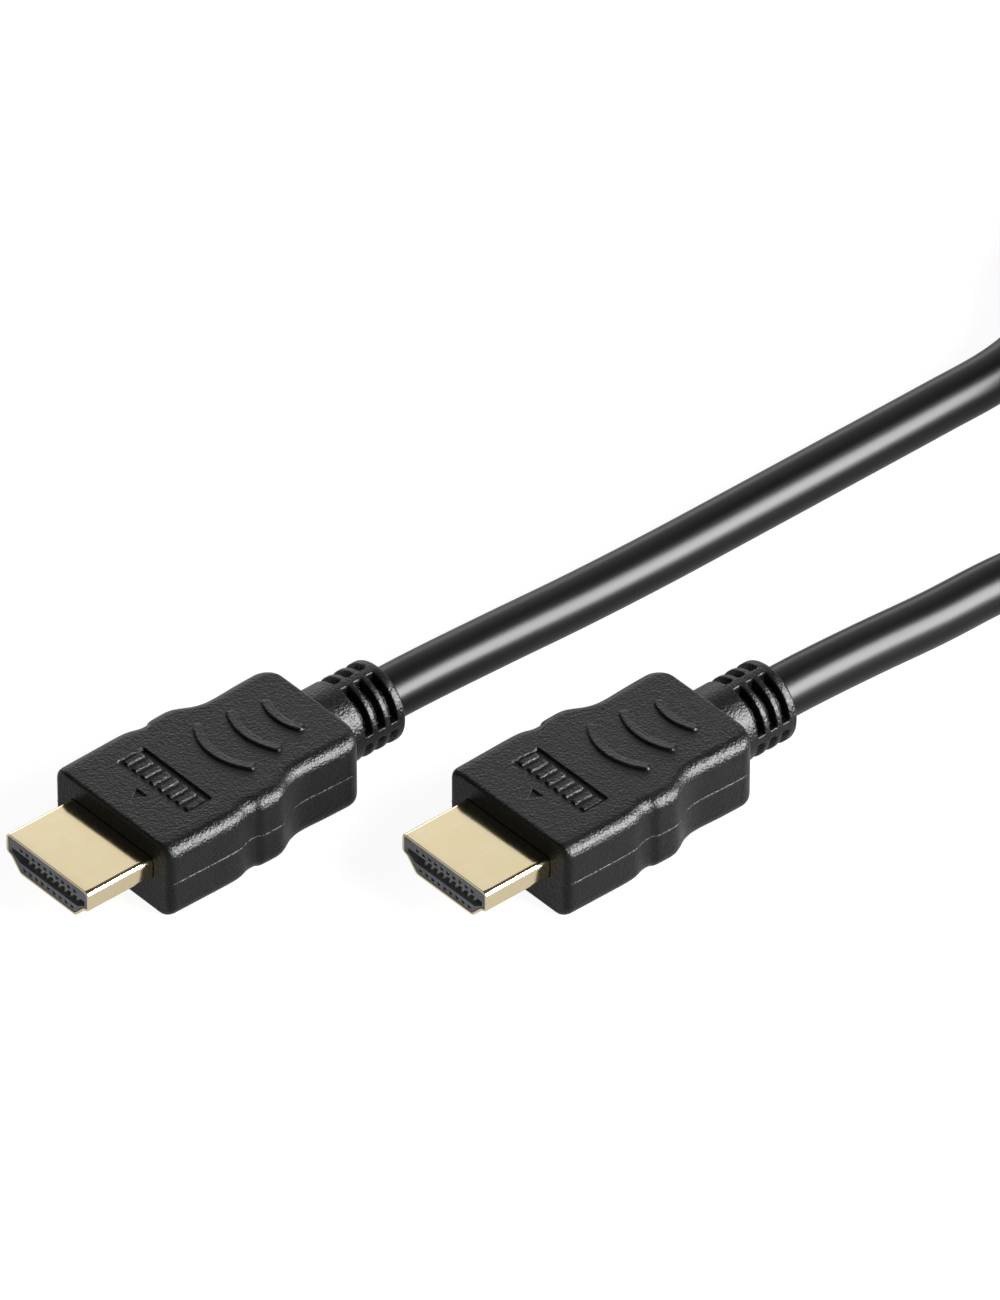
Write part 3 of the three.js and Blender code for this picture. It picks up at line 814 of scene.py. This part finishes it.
def mouldMaterial(spec):  # black moulding with a fine leather-like grain
    material, shader = newMaterial("moulded grip", {"Base Color": spec["colour"],
                                                    "Specular IOR Level": spec["gloss"]})
    place = shader.make("TexCoord", output="Object")
    cells = shader.cells(place, 0.34)
    grain = shader.noise(place, 0.22, 3.0, 0.6)
    broad = shader.noise(place, 3.5, 2.0)
    pits = grain * 0.7 + cells * 0.55
    feed(shader, Roughness=spec["roughness"] + 0.16 * (grain - 0.5) + 0.06 * (broad - 0.5),
         Base_Color=(0.7 * pits + 0.3 * broad).ramp(0.3, 0.8).blend(spec["colour"], spec["worn"]),
         Normal=pits.bump(0.95, 0.09))
    return material


inside = {
    "block": (0.12, 0.125, 0.14, 1),
    "blockPale": (0.20, 0.21, 0.23, 1),
    "contact": (0.94, 0.86, 0.70, 1),
    "contactPale": (1.0, 0.96, 0.88, 1),
}


def blockMaterial(spec):
    material, shader = newMaterial("contact block", {"Base Color": spec["block"]})
    place = shader.make("TexCoord", output="Object")
    grain = shader.noise(place, 0.12, 3.0)
    cloud = shader.noise(place, 1.3, 2.0)
    feed(shader, Roughness=0.42 + 0.2 * grain, Normal=grain.bump(0.25, 0.02),
         Base_Color=(0.5 * grain + 0.5 * cloud).ramp(0.3, 0.7).blend(spec["block"], spec["blockPale"]))
    return material


def contactMaterial(spec):
    material, shader = newMaterial("gilt contact", {"Metallic": 0.1, "Base Color": spec["contact"]})
    place = shader.make("TexCoord", output="Object")
    scuff = shader.noise(place, 0.14, 3.0)
    feed(shader, Roughness=0.16 + 0.2 * scuff, Normal=scuff.bump(0.2, 0.01),
         Base_Color=scuff.ramp(0.3, 0.75).blend(spec["contact"], spec["contactPale"]))
    return material


plugs = {"plug_a": (-14.05, -39.65, 4.9), "plug_b": (14.05, -7.35, 4.9)}
gilt, mould = giltMaterial(shell), mouldMaterial(grip)
blockPlastic, contactGilt = blockMaterial(inside), contactMaterial(inside)
for plugName, plugPlace in plugs.items():
    makeShell(plugName, np.array(plugPlace), shell, gilt)
    makeBody(plugName, np.array(plugPlace), mould)
    print(plugName, "made")
for nodeName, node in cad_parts.items():
    if "contact" in nodeName:
        node.material_slots[0].material = blockPlastic if nodeName.endswith("block") else contactGilt
print("contact blocks finished")


# Floor and light

studio = {
    "floorSize": 6000,
    "floorDrop": 0.05,
    "floorGlow": 0.93,
    "floorBounce": 0.44,
    "floorColour": (0.10, 0.10, 0.10, 1),
    "backdrop": (1, 1, 1, 1),
    "horizon": (0.50, 0.50, 0.50, 1),
    "zenith": (0.06, 0.06, 0.06, 1),
    # each soft box: direction, distance, width, height, power in watts
    "softBoxes": {
        "key": ((0.765, 0.511, 0.393), 600, 520, 360, 23.5),
        "strip": ((-0.831, 0.511, 0.219), 600, 700, 110, 0.80),
        "sheet": ((-0.588, 0.511, 0.627), 700, 620, 560, 0.84),
    },
}


def makeFloor(spec):
    half, low = spec["floorSize"] / 2, -spec["floorDrop"]
    mesh = bpy.data.meshes.new("floor")
    corners = [(-half, -half, low), (half, -half, low), (half, half, low), (-half, half, low)]
    mesh.from_pydata([[c * mm for c in corner] for corner in corners], [], [(0, 1, 2, 3)])
    material, shader = newMaterial("floor", {"Base Color": spec["floorColour"], "Roughness": 0.9,
                                             "Specular IOR Level": 0.0, "Emission Color": (1, 1, 1, 1),
                                             "Emission Strength": 1.0})
    seen = shader.make("LightPath", output="Is Camera Ray")
    glow = seen * spec["floorGlow"] + (1 - seen) * spec["floorBounce"]
    feed(shader, Emission_Color=glow.make("CombineColor", None, {0: glow, 1: glow, 2: glow}))
    mesh.materials.append(material)
    thing = bpy.data.objects.new("floor", mesh)
    bpy.context.collection.objects.link(thing)


def makeWorld(spec):
    world = bpy.data.worlds.new("studio")
    world.use_nodes = True
    bpy.context.scene.world = world
    background = world.node_tree.nodes["Background"]
    start = Wire(background.outputs[0])
    height = start.make("SeparateXYZ", None, {0: start.make("TexCoord", output="Generated")}, "Z")
    seen = start.make("LightPath", output="Is Camera Ray")
    sky = seen.blend(height.ramp(0.05, 0.75).blend(spec["horizon"], spec["zenith"]), spec["backdrop"])
    world.node_tree.links.new(sky.socket, background.inputs["Color"])


def makeSoftBox(name, direction, distance, width, height, power):
    data = bpy.data.lights.new(name, "AREA")
    data.shape, data.size, data.size_y, data.energy = "RECTANGLE", width * mm, height * mm, power
    thing = bpy.data.objects.new(name, data)
    away = Vector(direction).normalized()
    thing.location = away * distance * mm
    thing.rotation_mode = "QUATERNION"
    thing.rotation_quaternion = away.to_track_quat("Z", "Y")
    thing.visible_camera = False
    bpy.context.collection.objects.link(thing)


makeFloor(studio)
makeWorld(studio)
for boxName, boxFacts in studio["softBoxes"].items():
    makeSoftBox(boxName, *boxFacts)
bpy.context.scene.view_settings.view_transform = "Standard"
print("studio set")
